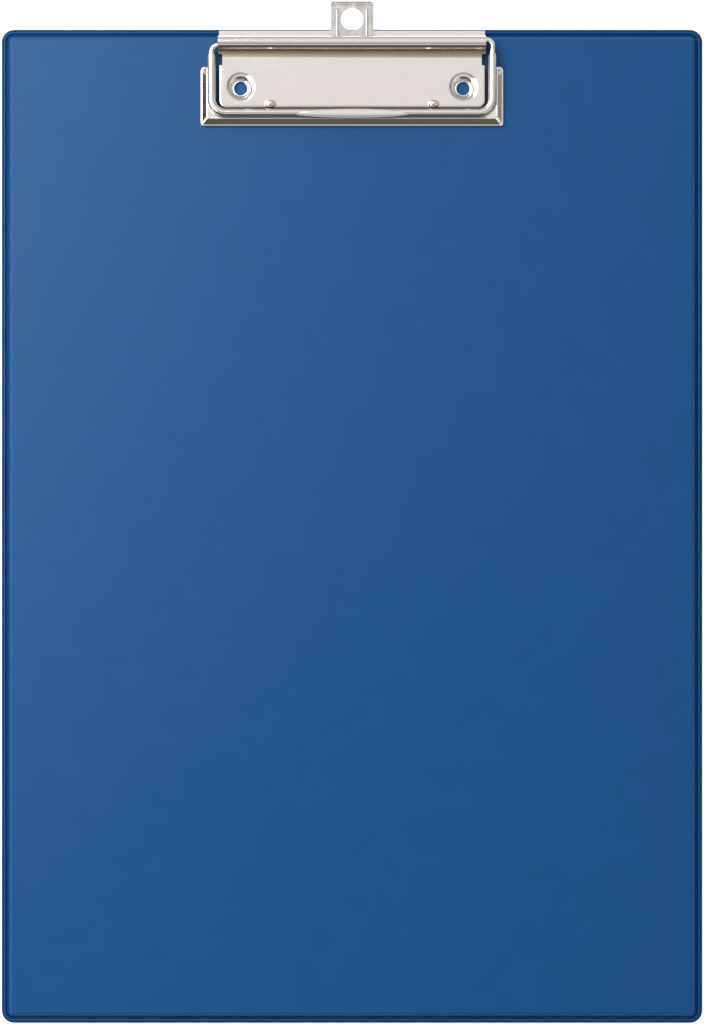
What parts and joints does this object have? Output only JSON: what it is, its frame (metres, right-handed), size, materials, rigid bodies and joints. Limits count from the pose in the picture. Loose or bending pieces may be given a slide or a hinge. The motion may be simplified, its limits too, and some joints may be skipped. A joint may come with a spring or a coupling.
{
  "type": "clipboard",
  "caption": "Flat film-covered writing board with a sprung nickel-plated wire clip across one end and a pull-out loop for hanging it up.",
  "frame": {"origin": "middle of the board's back face, which it lies on", "axes": "X across the board, +Y towards the end with the clip, +Z out of the front face"},
  "size_m": [0.225, 0.3273, 0.0074],
  "materials": {
    "greyboard": "raw pressed greyboard, matt",
    "film": "blue plastic film with a fine matt grain, welded round the rim",
    "plated_sheet": "bright nickel plate on stamped steel sheet",
    "plated_wire": "bright nickel plate on spring steel wire"
  },
  "bodies": {
    "board": {"board_core": "greyboard", "front_cover": "film", "back_cover": "film", "base_plate": "plated_sheet", "rivet_left": "plated_sheet", "rivet_right": "plated_sheet"},
    "jaw": {"jaw_frame": "plated_sheet", "spring_wire": "plated_wire"},
    "loop": {"hanging_loop": "plated_sheet"}
  },
  "joints": [
    {"name": "jaw_hinge", "type": "hinge", "parent": "board", "child": "jaw", "pos_m": [0, 0.15375, 0.00515], "axis": [-1, 0, 0], "range_deg": [0, 25], "stiffness_Nm_per_rad": 1.5, "springref_deg": -17.19},
    {"name": "loop_slide", "type": "slide", "parent": "board", "child": "loop", "axis": [0, -1, 0], "range_m": [0, 0.0099]}
  ]
}
